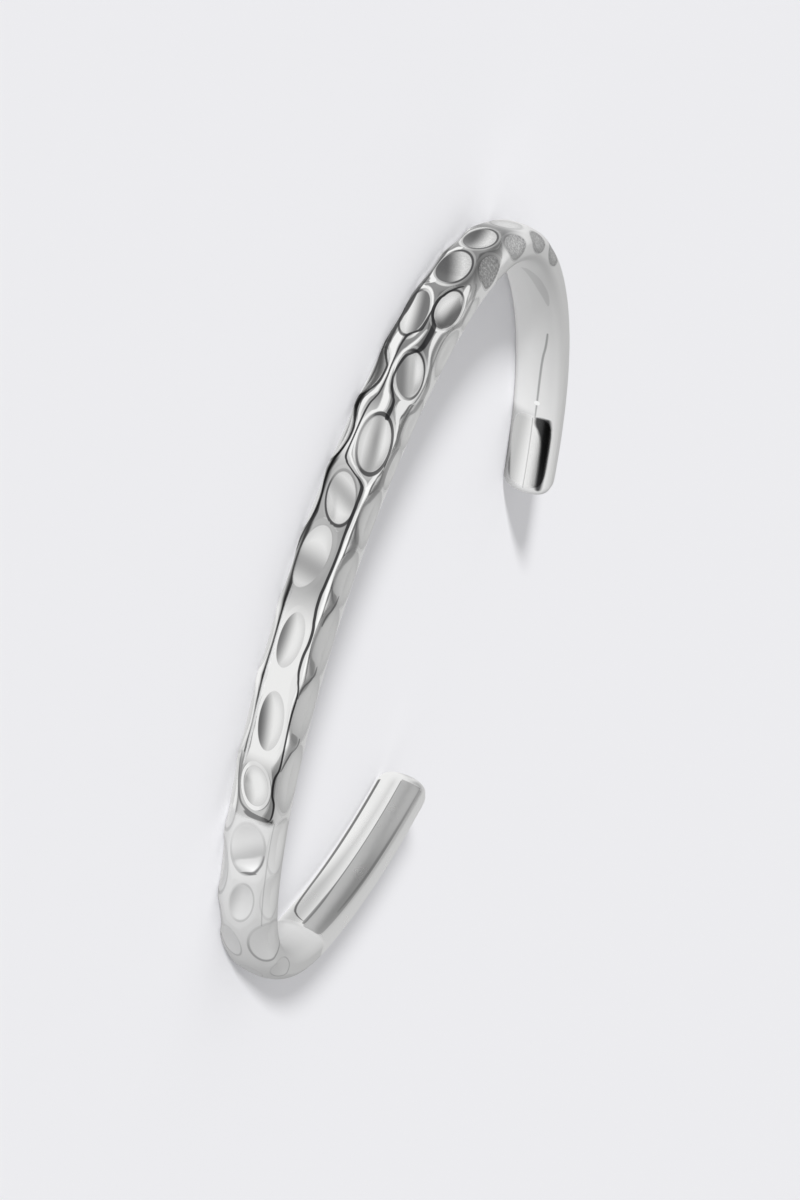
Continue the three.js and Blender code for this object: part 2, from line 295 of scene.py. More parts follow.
FOLD = (
    (-24.4, 1.9, 0.05), (-23.0, 2.45, 0.15), (-22.0, 2.7, 0.22), (-21.0, 2.65, 0.22),
    (-20.0, 2.25, 0.2), (-19.0, 1.85, 0.13), (-18.0, 1.7, 0.1), (-17.0, 1.75, 0.1),
    (-16.0, 2.05, 0.15), (-15.0, 2.4, 0.22), (-14.0, 2.65, 0.26), (-13.0, 2.65, 0.26),
    (-12.3, 2.4, 0.2), (-11.7, 2.05, 0.12), (-10.8, 2.0, 0.13), (-10.0, 2.25, 0.2),
    (-9.0, 2.4, 0.25), (-7.0, 2.35, 0.25), (-5.8, 2.15, 0.22), (-5.0, 1.9, 0.16),
    (-4.0, 1.62, 0.1), (-3.4, 1.67, 0.12), (-2.7, 1.9, 0.2), (-1.7, 2.05, 0.3),
    (-0.7, 1.85, 0.24), (0.0, 1.65, 0.12), (1.2, 1.5, 0.08), (1.8, 1.65, 0.14),
    (2.35, 1.9, 0.32), (3.2, 1.8, 0.28), (4.1, 1.65, 0.16), (4.8, 1.55, 0.08),
    (6.0, 1.48, 0.07), (6.8, 1.65, 0.15), (7.6, 1.85, 0.34), (8.4, 1.8, 0.3),
    (9.4, 1.58, 0.1), (10.0, 1.5, -0.1), (12.4, 1.7, 0.0), (12.9, 2.0, 0.34),
    (13.7, 1.9, 0.26), (14.6, 1.72, 0.13), (15.3, 1.6, 0.03),
)
FACET_EDGE = (
    (1.9, 2.35, 0.02), (3.0, 2.08, 0.08), (4.3, 1.72, 0.05), (4.5, 1.72, -0.3),
    (7.0, 2.35, -0.3), (7.2, 2.35, 0.03), (8.2, 2.1, 0.09), (9.8, 1.5, 0.05),
    (10.0, 1.5, -0.3), (12.6, 2.5, -0.3), (12.8, 2.5, 0.05), (14.0, 2.0, 0.07),
    (15.5, 1.55, 0.05),
)
UNDER_SATIN = (
    (2.0, -1.5, -0.05), (3.0, -1.42, 0.07), (14.5, -1.38, 0.09), (16.0, -1.5, -0.05),
)
UNDER_LINE = (
    (1.8, -1.8, -0.05), (2.8, -1.68, 0.06), (3.4, -1.66, 0.08), (15.0, -1.62, 0.08),
)
SHOULDER_RIBBON = (
    (-23.9, 1.55, 0.02), (-23.3, 1.6, 0.22), (-22.6, 1.75, 0.25), (-22.0, 2.0, 0.18),
    (-21.3, 2.2, 0.14), (-20.5, 2.2, 0.14), (-19.8, 1.95, 0.15), (-19.1, 1.58, 0.2),
    (-18.3, 1.35, 0.2), (-17.5, 1.4, 0.16), (-16.7, 1.6, 0.13), (-16.0, 1.9, 0.12),
    (-15.0, 2.15, 0.11), (-14.0, 2.25, 0.12), (-13.3, 2.05, 0.25), (-12.8, 1.7, 0.4),
    (-12.3, 1.4, 0.42), (-11.7, 1.4, 0.3), (-11.0, 1.6, 0.16), (-10.2, 1.85, 0.12),
    (-9.0, 2.0, 0.13), (-8.0, 1.95, 0.13), (-7.2, 1.8, 0.14), (-6.6, 1.6, 0.17),
    (-5.8, 1.5, 0.2), (-5.0, 1.55, 0.2), (-4.0, 1.45, 0.17), (-3.0, 1.38, 0.17),
    (-1.0, 1.38, 0.17), (2.0, 1.25, 0.2), (4.0, 1.3, 0.16), (6.0, 1.32, 0.1),
    (8.5, 1.5, 0.16), (9.5, 1.6, 0.03),
)
CROWN_RIBBON = (
    (-18.6, 0.5, 0.02), (-17.6, 0.3, 0.12), (-16.8, -0.05, 0.16), (-16.0, -0.38, 0.14),
    (-15.0, -0.48, 0.13), (-14.0, -0.4, 0.13), (-13.0, -0.15, 0.2), (-12.2, 0.1, 0.3),
    (-11.6, 0.1, 0.3), (-11.2, -0.35, 0.2), (-10.6, -0.72, 0.12), (-10.0, -0.86, 0.1),
    (-9.0, -0.88, 0.09), (-8.0, -0.78, 0.1), (-7.4, -0.45, 0.13), (-6.9, 0.1, 0.14),
    (-6.5, 0.65, 0.14), (-6.1, 1.2, 0.14), (-5.6, 1.45, 0.15),
)
UNDER_RIBBON = (
    (-27.7, -0.9, 0.1), (-27.3, -1.1, 0.3), (-26.6, -1.55, 0.16), (-25.8, -1.72, 0.1),
    (-25.0, -1.78, 0.08), (-24.2, -1.7, 0.1), (-23.6, -1.45, 0.2), (-23.1, -1.15, 0.3),
    (-22.85, -1.2, 0.1), (-22.7, -1.8, 0.1), (-22.4, -1.6, 0.35), (-22.0, -1.1, 0.3),
    (-21.5, -0.65, 0.2), (-21.0, -0.35, 0.14), (-20.4, -0.1, 0.06), (-19.8, 0.0, 0.0),
)
LOW_RIBBON = (
    (-18.0, -1.5, 0.05), (-17.5, -1.3, 0.35), (-16.6, -1.3, 0.38), (-15.8, -1.05, 0.25),
    (-15.0, -0.88, 0.14), (-14.0, -0.8, 0.12), (-13.0, -0.88, 0.17), (-12.4, -1.15, 0.25),
    (-11.8, -1.45, 0.25), (-11.2, -1.5, 0.2), (-10.4, -1.3, 0.12), (-9.8, -1.2, 0.02),
)
LAST_EDGE = (
    (15.0, -1.9, 0.06), (16.5, -1.75, 0.09), (17.8, -1.5, 0.1), (18.7, -1.1, 0.13),
    (19.2, -0.4, 0.25), (19.45, 0.3, 0.9), (19.65, 0.6, 1.0), (19.8, 0.9, 0.5),
)
LOW_LINE = ((19.8, 1.9, 0.04), (25.0, 1.82, 0.05), (30.0, 1.85, 0.05))
UNDER_FRINGE = ((-12.0, -2.9, 0.5), (20.0, -2.9, 0.5))
# The crescent is a painted highlight in one frosted mark, and its edge is painted shade.
CRESCENT = (
    (22.9, 1.3, 0.05), (23.3, 1.05, 0.25), (23.7, 0.65, 0.6), (24.1, 0.25, 0.95),
    (24.5, 0.15, 0.8),
)
CRESCENT_EDGE = (
    (22.8, 1.5, 0.03), (23.6, 1.4, 0.08), (24.1, 1.2, 0.1), (24.5, 0.95, 0.15),
    (24.75, 0.5, 0.4), (24.9, 0.15, 0.35),
)
CRESCENT_SOFTNESS = 0.5
CRESCENT_SHINE = 0.75
# On the arms the second column goes round the girth, from the crown over the top.
ARM_CORNER = (
    (50.3, 6.45, 0.05), (50.6, 6.95, 0.1), (51.2, 7.5, 0.1), (52.0, 7.9, 0.11),
    (53.2, 8.15, 0.12), (56.0, 8.35, 0.15), (60.0, 8.42, 0.18), (66.0, 8.5, 0.22),
    (71.6, 8.5, 0.2),
)
ARM_RIDGE = (
    (49.8, 6.35, 0.04), (50.6, 6.35, 0.14), (53.0, 6.36, 0.14), (56.0, 6.38, 0.09),
    (59.0, 6.4, 0.05), (72.0, 6.4, 0.04),
)
ARM_FACE = ((49.4, 5.5, 0.5), (50.5, 5.45, 0.9), (72.2, 5.45, 0.95))
ARM_RIM = ((54.0, 4.75, 0.02), (60.0, 4.62, 0.1), (66.0, 4.55, 0.12), (72.0, 4.45, 0.12))
ARM_HALF = (
    (49.4, 7.5, 0.9), (54.0, 7.5, 0.8), (60.0, 7.3, 0.35), (66.0, 7.1, 0.05), (72.0, 7.0, 0.0),
)
END_BAND = (
    (-77.6, 4.95, 0.05), (-77.1, 4.95, 0.3), (-74.0, 4.95, 0.36), (-72.0, 5.0, 0.42),
    (-70.5, 5.2, 0.6), (-69.6, 5.4, 0.76), (-69.1, 5.45, 0.72), (-68.8, 5.5, 0.5),
)
END_RIDGE = ((-77.6, 6.4, 0.05), (-69.0, 6.4, 0.05))
END_TOP = ((-77.8, 8.6, 1.4), (-73.0, 8.6, 1.6), (-68.7, 8.4, 1.8))
INNER_LINE = (
    (-68.9, 6.2, 0.05), (-67.0, 6.15, 0.08), (-64.0, 6.05, 0.1), (-61.0, 5.85, 0.1),
    (-58.5, 5.5, 0.1), (-56.5, 5.3, 0.06),
)
INNER_CRESCENT = (
    (-51.5, 4.95, 0.05), (-50.0, 5.0, 0.25), (-47.5, 5.2, 0.4), (-45.0, 5.45, 0.4),
    (-42.5, 5.9, 0.25),
)
# Columns of the dark strokes, which are painted shade and painted dark reflections: places,
# darkness, edge.
DARK_STROKES = (
    (RIDGE_SHADE_LINE, 0.95, 0.05),
    (VALLEY, 0.92, 0.07),
    (UNDER_EDGE, 0.92, 0.1),
    (FOLD, 0.42, 0.22),
    (FACET_EDGE, 0.6, 0.08),
    (UNDER_LINE, 0.75, 0.12),
    (LAST_EDGE, 0.66, 0.22),
    (LOW_LINE, 0.25, 0.05),
    (UNDER_FRINGE, 0.25, 0.4),
    (CRESCENT_EDGE, 0.65, 0.18),
)
# Painted shade and painted dark reflections on the arms and the tips.
ARM_STROKES = (
    (ARM_CORNER, 0.85, 0.12),
    (ARM_RIDGE, 0.6, 0.08),
    (ARM_FACE, 0.42, 0.12),
    (ARM_RIM, 0.35, 0.15),
    (ARM_HALF, 0.4, 1.5),
    (END_BAND, 0.95, 0.4),
    (END_RIDGE, 0.35, 0.06),
    (END_TOP, 0.4, 1.6),
    (INNER_LINE, 0.5, 0.1),
    (INNER_CRESCENT, 0.16, 0.12),
)
# The light strokes are painted highlights, bright ribbons that lift the painted shade of the
# lands.
LIGHT_STROKES = (SHOULDER_RIBBON, CROWN_RIBBON, UNDER_RIBBON, LOW_RIBBON)
RIBBON_EDGE = 0.18
UNDER_SATIN_EDGE = 0.16
# Off the crown, where the outer strokes stop and where those of the arms start.
OUTER_SPAN = (4.0, 4.4)
ARM_SPAN = (3.0, 3.4)
SMALLEST_RANGE = 0.001

# ------------------------------------------------------------------ view and light, in metres

LOOK_AT = (-0.000218, 0.000135, 0.001483)
CAMERA_AZIMUTH = -1.49
CAMERA_ELEVATION = 14.66
CAMERA_ROLL = 109.62
CAMERA_DISTANCE = 0.20006
CAMERA_CLIP = 0.01
LENS = 72.61
FLOOR_REACH = 6.0
FLOOR_TONE = (0.9, 0.9, 0.925, 1.0)

# The floor's light in the silver, by the distance from its middle over the bangle's half sizes
# and by the azimuth from the front towards the right, in degrees.
FLOOR_INNER_LIGHT = 0.95
FLOOR_BAR_SPAN = (0.96, 1.0)
FLOOR_OUTER_LIGHTS = (0.9, 0.66)
FLOOR_OUTER_SPAN = (50.0, 66.0)
FLOOR_LEFT_LIGHTS = (0.95, 0.55)
FLOOR_LEFT_SPAN = (1.4, 2.0)
FLOOR_LEFT_WINDOW = (-107.0, -17.0, 10.0)
CONTACT_LIGHTS = (0.1, 0.6)
CONTACT_SPAN = (15.0, 40.0)
CONTACT_WINDOW = (0.985, 1.015, 0.02)

# The studio's lights. Each area is laid over those before it. Its columns: elevation from, to
# and edge, azimuth from, to and edge, light.
STUDIO_TONE = (1.0, 1.0, 1.0, 1.0)
TOP_LIGHTS = (0.62, 0.56)
TOP_SPAN = (66.0, 76.0)
BELOW = -100.0
STUDIO_AREAS = (
    (BELOW, 55.0, 10.0, -125.0, -92.0, 12.0, 0.42),
    (3.0, 40.0, 10.0, -90.0, -20.0, 16.0, 0.85),
    (BELOW, 24.0, 8.0, -22.0, 50.0, 8.0, 0.85),
    (26.0, 43.0, 8.0, -30.0, 50.0, 20.0, 1.05),
    (52.0, 73.0, 8.0, -100.0, 55.0, 16.0, 0.22),
    (5.0, 33.0, 8.0, 50.0, 68.0, 8.0, 0.35),
    (2.0, 36.0, 6.0, 72.0, 110.0, 8.0, 0.04),
)

KEY_AZIMUTH = -18.0
KEY_ELEVATION = 12.0
KEY_DISTANCE = 1.0
KEY_SPREAD = 5.0
KEY_STRENGTH = 5.4


# ------------------------------------------------------------------ plan and section

def smooth(t):
    """An S curve from 0 to 1."""
    u = min(max(t, 0.0), 1.0)
    return u * u * (3 - 2 * u)


def between(a, b, share):
    """The row of numbers that lies a share of the way from row a to row b."""
    return [low + (high - low) * share for low, high in zip(a, b)]


def row_at(rows, value):
    """A table's row at a value of its first column, between the two rows that hold it."""
    low, high = 0, len(rows) - 1
    while high - low > 1:
        middle = (low + high) // 2
        if rows[middle][0] <= value:
            low = middle
        else:
            high = middle
    share = (value - rows[low][0]) / (rows[high][0] - rows[low][0])
    return between(rows[low], rows[high], share)


def curvature(arcs, distance):
    """How much an arm bends at a distance from the middle of the back."""
    bend = 1 / arcs[0][0]
    start = 0.0
    for before, after in zip(arcs, arcs[1:]):
        start += before[1]
        share = smooth((distance - start) / ARC_BLEND + 0.5)
        bend += (1 / after[0] - 1 / before[0]) * share
    return bend


def walk_arm(arcs, side):
    """Rows (along, x, y, outward x, outward y) of one arm, from the middle of the back."""
    length = sum(arc[1] for arc in arcs)
    steps = round(length / PLAN_STEP)
    step = length / steps
    x = y = heading = 0.0
    rows = [(0.0, 0.0, 0.0, 0.0, -1.0)]
    for i in range(steps):
        middle = heading + 0.5 * step * curvature(arcs, i * step)
        heading += step * curvature(arcs, (i + 0.5) * step)
        x += step * math.cos(middle)
        y += step * math.sin(middle)
        place = side * (i + 1) * step
        rows.append((place, side * x, y, side * math.sin(heading), -math.cos(heading)))
    return rows


def section_point(angle):
    """Out from the wrist, and up, at an angle from the crown."""
    c, s = math.cos(angle), math.sin(angle)
    power = 2 / (OUTER_POWER if c > 0 else INNER_POWER)
    half = BAND_WIDTH / 2
    side = math.copysign(abs(s) ** power * half, s)
    reach = abs(c) ** power
    if c > 0:
        out = reach * CROWN_RISE
    else:
        out = -reach * (INNER_RISE - INNER_GABLE) - INNER_GABLE * (1 - abs(side) / half)
    return out, min(max(side, SIDE_CUT - half), half - SIDE_CUT)


def section_rows():
    """Rows (girth, out, up) from the crown over the upper side to the inner ridge."""
    rows = [(0.0, *section_point(0.0))]
    for i in range(1, SECTION_STEPS + 1):
        out, up = section_point(math.pi * i / SECTION_STEPS)
        girth = rows[-1][0] + math.hypot(out - rows[-1][1], up - rows[-1][2])
        rows.append((girth, out, up))
    return rows


def spread(start, stop, spacing):
    """Even places from start up to stop, without stop itself."""
    count = round((stop - start) / spacing)
    return [start + (stop - start) * i / count for i in range(count)]


def ring_places(first, last):
    """(distance along, size over the full section) of every ring."""
    tip = []
    for i in range(1, TIP_RINGS + 1):
        reach = math.sin(math.pi / 2 * (i / TIP_RINGS) ** TIP_CROWDING)
        size = max(0.0, 1 - reach ** TIP_POWER) ** (1 / TIP_POWER)
        tip.append((TIP_LENGTH * (1 - reach), size))
    body = spread(first + TIP_LENGTH, HAMMERED_FROM, PLAIN_RING)
    body += spread(HAMMERED_FROM, HAMMERED_TO, FINE_RING)
    body += spread(HAMMERED_TO, last - TIP_LENGTH, PLAIN_RING)
    body.append(last - TIP_LENGTH)
    places = [(first + inset, size) for inset, size in reversed(tip)]
    places += [(along, 1.0) for along in body]
    places += [(last - inset, size) for inset, size in tip]
    return places


# ------------------------------------------------------------------ guides for the tree

def guide(name, points, edges=(), **columns):
    """A loose mesh of points and edges, with a named attribute for each column."""
    mesh = bpy.data.meshes.new(name)
    mesh.from_pydata([Vector(point) * MM for point in points], edges, [])
    for column, values in columns.items():
        vectors = hasattr(values[0], "__len__")
        kind = "FLOAT_VECTOR" if vectors else "FLOAT"
        layer = mesh.attributes.new(column, kind, "POINT")
        if vectors:
            layer.data.foreach_set("vector", [part for value in values for part in value])
        else:
            layer.data.foreach_set("value", values)
    obj = bpy.data.objects.new(name, mesh)
    bpy.context.scene.collection.objects.link(obj)
    return obj


def plan_guide():
    """A point for each ring, halfway between the crown and the inner ridge."""
    rows = list(reversed(walk_arm(LEFT_PLAN, -1)))[:-1] + walk_arm(RIGHT_PLAN, 1)
    middle = (CROWN_RISE - INNER_RISE) / 2
    places = ring_places(rows[0][0], rows[-1][0])
    points = []
    for along, size in places:
        place, x, y, out_x, out_y = row_at(rows, along)
        points.append((x + out_x * middle, y + out_y * middle, 0.0))
    edges = [(i, i + 1) for i in range(len(points) - 1)]
    return guide(
        "bar_plan", points, edges,
        along=[along for along, size in places],
        ring_size=[size for along, size in places],
    )


def section_guide():
    """The section's outline, with each point's place from the crown and round the girth."""
    rows = section_rows()
    half_girth = rows[-1][0]
    middle = (CROWN_RISE - INNER_RISE) / 2
    half = GIRTH_FACES // 2
    points = []
    across = []
    girths = []
    for i in range(-half, half):
        share = i / half
        place = share * (1 - GIRTH_CROWDING * (1 - share * share)) * half_girth
        girth, out, up = row_at(rows, abs(place))
        points.append((out - middle, -math.copysign(up, place), 0.0))
        across.append(place)
        girths.append(place if place >= 0 else place + 2 * half_girth)
    edges = [(i, (i + 1) % GIRTH_FACES) for i in range(GIRTH_FACES)]
    off_crown = [abs(place) for place in across]
    return guide("bar_section", points, edges, across=across, girth=girths, off_crown=off_crown)


def marks_guide():
    """A point for each hammer mark, with its place, shape, finish and the painted shade on one
    side of its cup as vectors.
    """
    places, shapes, finishes_and_shades, side_shades = [], [], [], []
    for mark in MARKS:
        along, across, half_length, half_width, turn, depth, lip, satin = mark[:8]
        angle, start, stop, darkness = mark[8:] or NO_SIDE_SHADE
        places.append((along, across, math.radians(turn)))
        shapes.append((half_length, half_width, depth))
        finishes_and_shades.append((lip, satin, darkness))
        side_shades.append((math.radians(angle), start, stop))
    points = [(0.0, 0.0, 0.0)] * len(MARKS)
    columns = {"place": places, "shape": shapes, "finish": finishes_and_shades, "patina": side_shades}
    return guide("hammer_marks", points, **columns)


# ------------------------------------------------------------------ node helpers

class Tree:
    """Adds nodes to a tree. A socket takes a plain value, or is linked to a node or a socket."""

    def __init__(self, tree):
        self.tree = tree

    def node(self, kind, inputs=None, **settings):
        node = self.tree.nodes.new(kind)
        for name, value in settings.items():
            setattr(node, name, value)
        for key, value in (inputs or {}).items():
            self.feed(node.inputs[key], value)
        return node

    def feed(self, socket, value):
        if isinstance(value, bpy.types.Node):
            value = value.outputs[0]
        if isinstance(value, bpy.types.NodeSocket):
            self.tree.links.new(value, socket)
        else:
            socket.default_value = value

    def math(self, operation, *values):
        inputs = dict(enumerate(values))
        return self.node("ShaderNodeMath", inputs, operation=operation).outputs[0]

    def add(self, a, b):
        return self.math("ADD", a, b)

    def take(self, a, b):
        return self.math("SUBTRACT", a, b)

    def times(self, a, b):
        return self.math("MULTIPLY", a, b)

    def over(self, a, b):
        return self.math("DIVIDE", a, b)

    def most(self, a, b):
        return self.math("MAXIMUM", a, b)

    def least(self, a, b):
        return self.math("MINIMUM", a, b)

    def rest(self, share):
        """What a share leaves of 1."""
        return self.take(1.0, share)

    def thinned(self, value, share):
        """The value, less a share of itself."""
        return self.times(value, self.rest(share))

    def ramp(self, value, start, stop, low=0.0, high=1.0):
        """Goes smoothly from low to high while value goes from start to stop."""
        inputs = {
            "Value": value, "From Min": start, "From Max": stop, "To Min": low, "To Max": high,
        }
        node = self.node("ShaderNodeMapRange", inputs, interpolation_type="SMOOTHSTEP")
        return node.outputs["Result"]

    def parts(self, vector):
        return self.node("ShaderNodeSeparateXYZ", {0: vector}).outputs


class GeometryTree(Tree):
    def named(self, name, data_type="FLOAT"):
        node = self.node("GeometryNodeInputNamedAttribute", {"Name": name}, data_type=data_type)
        return node.outputs["Attribute"]

    def store(self, geometry, name, value):
        inputs = {"Geometry": geometry, "Name": name, "Value": value}
        settings = {"data_type": "FLOAT", "domain": "POINT"}
        return self.node("GeometryNodeStoreNamedAttribute", inputs, **settings)

    def between(self, name, value, share):
        """The named value moved by a share of the way to another."""
        kept = self.named(name)
        return self.add(kept, self.times(self.take(value, kept), share))

    def shape_of(self, source):
        return self.node("GeometryNodeObjectInfo", {"Object": source}).outputs["Geometry"]


# ------------------------------------------------------------------ the bar's tree

TREE_SOCKETS = {
    "Plan": "NodeSocketObject",
    "Section": "NodeSocketObject",
    "Marks": "NodeSocketObject",
    "Mark count": "NodeSocketInt",
    "Shoulder reach": "NodeSocketFloat",
    "Shoulder share": "NodeSocketFloat",
    "Hammer edge": "NodeSocketFloat",
    "Hammer fade": "NodeSocketFloat",
    "Rim softness": "NodeSocketFloat",
    "Ridge sharpness": "NodeSocketFloat",
    "Patina edge": "NodeSocketFloat",
    "Waviness": "NodeSocketFloat",
    "Wave length": "NodeSocketFloat",
    "Seed": "NodeSocketFloat",
    "Silver": "NodeSocketMaterial",
}


def mark_column(t, marks, turn, name):
    """The three numbers of the loop's own mark in one of the guide's attributes."""
    inputs = {"Geometry": marks, "Value": t.named(name, "FLOAT_VECTOR"), "Index": turn}
    sampled = t.node(
        "GeometryNodeSampleIndex", inputs, data_type="FLOAT_VECTOR", domain="POINT"
    )
    return t.parts(sampled)


def inside_mark(t, place, shape):
    """The place in a mark, lengthwise and crosswise, over its half length and half width."""
    from_along = t.take(t.named("along"), place[0])
    from_across = t.take(t.named("across"), place[1])
    cosine = t.math("COSINE", place[2])
    sine = t.math("SINE", place[2])
    lengthwise = t.add(t.times(from_along, cosine), t.times(from_across, sine))
    crosswise = t.take(t.times(from_across, cosine), t.times(from_along, sine))
    return t.over(lengthwise, shape[0]), t.over(crosswise, shape[1])


def hammer_loop(t, given, swept, marks):
    """Goes through the marks. The powers of their presses add up, so the deepest one leads."""
    enter = t.tree.nodes.new("GeometryNodeRepeatInput")
    leave = t.tree.nodes.new("GeometryNodeRepeatOutput")
    enter.pair_with_output(leave)
    t.feed(enter.inputs["Iterations"], given["Mark count"])
    t.feed(enter.inputs["Geometry"], swept)
    turn = enter.outputs["Iteration"]
    shape = mark_column(t, marks, turn, "shape")
    lengthwise, crosswise = inside_mark(t, mark_column(t, marks, turn, "place"), shape)
    away = t.add(t.times(lengthwise, lengthwise), t.times(crosswise, crosswise))
    reach = given["Shoulder reach"]
    inside = t.take(1.0, away)
    bowl = t.math("SMOOTH_MAX", inside, 0.0, given["Rim softness"])
    around = t.take(1.0, t.over(away, t.times(reach, reach)))
    shoulder = t.math("SMOOTH_MAX", around, 0.0, given["Rim softness"])
    share = given["Shoulder share"]
    press = t.add(t.times(bowl, t.take(1.0, share)), t.times(shoulder, share))
    press = t.math("POWER", t.times(press, shape[2]), given["Ridge sharpness"])
    pressed = t.store(enter.outputs["Geometry"], "press", t.add(t.named("press"), press))
    nearer = t.math("GREATER_THAN", inside, t.named("cup"))
    finish = mark_column(t, marks, turn, "finish")
    lipped = t.store(pressed, "lip", t.between("lip", finish[0], nearer))
    satined = t.store(lipped, "satin", t.between("satin", finish[1], nearer))
    # Painted shade: each crown cup is darker on the side away from its light side.
    angle, start, stop = mark_column(t, marks, turn, "patina")
    lit = t.add(
        t.times(lengthwise, t.math("COSINE", angle)), t.times(crosswise, t.math("SINE", angle))
    )
    half = given["Patina edge"]
    past = t.ramp(t.over(t.take(lit, start), half), -1.0, 1.0)
    short = t.ramp(t.over(t.take(lit, stop), half), -1.0, 1.0, 1.0, 0.0)
    patina = t.times(t.times(past, short), finish[2])
    darkened = t.store(satined, "patina", t.between("patina", patina, nearer))
    sided = t.store(darkened, "lit", t.between("lit", lit, nearer))
    covered = t.most(t.named("cup"), inside)
    t.feed(leave.inputs["Geometry"], t.store(sided, "cup", covered))
    return leave.outputs["Geometry"]


def bar_tree():
    """Sweeps the section along the plan, and presses every hammer mark into the outer face."""
    group = bpy.data.node_groups.new("hammered_bar", "GeometryNodeTree")
    for name, kind in TREE_SOCKETS.items():
        group.interface.new_socket(name, in_out="INPUT", socket_type=kind)
    group.interface.new_socket("Bar", in_out="OUTPUT", socket_type="NodeSocketGeometry")
    t = GeometryTree(group)
    given = group.nodes.new("NodeGroupInput").outputs

    line = t.node("GeometryNodeMeshToCurve", {"Mesh": t.shape_of(given["Plan"])})
    level = t.node("GeometryNodeSetCurveNormal", {"Curve": line})
    level.mode = "Z_UP"
    outline = t.node("GeometryNodeMeshToCurve", {"Mesh": t.shape_of(given["Section"])})
    inputs = {"Curve": level, "Profile Curve": outline, "Scale": t.named("ring_size")}
    swept = t.node("GeometryNodeCurveToMesh", inputs)
    outward = t.node("GeometryNodeFlipFaces", {"Mesh": swept})
    blank = t.store(outward, "cup", NO_CUP)
    for name in ("press", "lip", "satin", "patina", "lit"):
        blank = t.store(blank, name, 0.0)
    hammered = hammer_loop(t, given, blank, t.shape_of(given["Marks"]))

    beyond = t.math("ABSOLUTE", t.named("across"))
    kept = t.ramp(t.over(t.take(given["Hammer edge"], beyond), given["Hammer fade"]), 0.0, 1.0)
    inputs = {"W": given["Seed"], "Scale": t.over(1.0 / MM, given["Wave length"])}
    inputs["Detail"] = WAVE_DETAIL
    wave = t.node("ShaderNodeTexNoise", inputs, noise_dimensions="4D").outputs[0]
    wave = t.times(t.take(wave, 0.5), given["Waviness"])
    press = t.math("POWER", t.named("press"), t.over(1.0, given["Ridge sharpness"]))
    depth = t.times(t.add(t.times(press, kept), wave), t.named("ring_size"))
    inputs = {0: t.node("GeometryNodeInputNormal"), "Scale": t.times(depth, -MM)}
    inwards = t.node("ShaderNodeVectorMath", inputs, operation="SCALE")
    moved = t.node("GeometryNodeSetPosition", {"Geometry": hammered, "Offset": inwards})
    inputs = {"Geometry": moved, "Distance": MERGE_DISTANCE}
    closed = t.node("GeometryNodeMergeByDistance", inputs)
    smoothed = t.node("GeometryNodeSetShadeSmooth", {"Geometry": closed})
    real = t.node("GeometryNodeRealizeInstances", {"Geometry": smoothed})
    inputs = {"Geometry": real, "Material": given["Silver"]}
    finished = t.node("GeometryNodeSetMaterial", inputs)
    t.feed(group.nodes.new("NodeGroupOutput").inputs["Bar"], finished)
    return group


def set_inputs(modifier, values):
    """Sets each input of the modifier's tree by its socket's identifier."""
    for item in modifier.node_group.interface.items_tree:
        if item.item_type == "SOCKET" and item.in_out == "INPUT":
            modifier[item.identifier] = values[item.name]


def hammered_bar(silver):
    """The whole bangle as one closed mesh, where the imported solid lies."""
    guides = {"Plan": plan_guide(), "Section": section_guide(), "Marks": marks_guide()}
    maker = guide("bar_maker", [(0.0, 0.0, 0.0)])
    modifier = maker.modifiers.new("hammered_bar", "NODES")
    modifier.node_group = bar_tree()
    values = {
        "Mark count": len(MARKS),
        "Shoulder reach": SHOULDER_REACH,
        "Shoulder share": SHOULDER_SHARE,
        "Hammer edge": HAMMER_EDGE,
        "Hammer fade": HAMMER_FADE,
        "Rim softness": RIM_SOFTNESS,
        "Ridge sharpness": RIDGE_SHARPNESS,
        "Patina edge": SIDE_SHADE_EDGE,
        "Waviness": WAVINESS,
        "Wave length": WAVE_LENGTH,
        "Seed": WAVE_SEED,
        "Silver": silver,
    }
    set_inputs(modifier, values | guides)
    bpy.context.view_layer.update()
    evaluated = maker.evaluated_get(bpy.context.evaluated_depsgraph_get())
    mesh = bpy.data.meshes.new_from_object(evaluated)
    for helper in (maker, *guides.values()):
        bpy.data.objects.remove(helper)
    mesh.name = "hammered_bangle"
    seat(mesh)
    bangle = bpy.data.objects.new("hammered_bangle", mesh)
    bpy.context.scene.collection.objects.link(bangle)
    return bangle


def seat(mesh):
    """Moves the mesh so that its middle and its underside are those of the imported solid."""
    lows, highs = [], []
    for axis in range(3):
        values = [vertex.co[axis] for vertex in mesh.vertices]
        lows.append(min(values))
        highs.append(max(values))
    (low_x, low_y, low_z), (high_x, high_y, high_z) = CAD_BOX
    shift = Vector((
        (low_x + high_x - lows[0] - highs[0]) / 2,
        (low_y + high_y - lows[1] - highs[1]) / 2,
        low_z - lows[2],
    ))
    mesh.transform(Matrix.Translation(shift))


# ------------------------------------------------------------------ materials

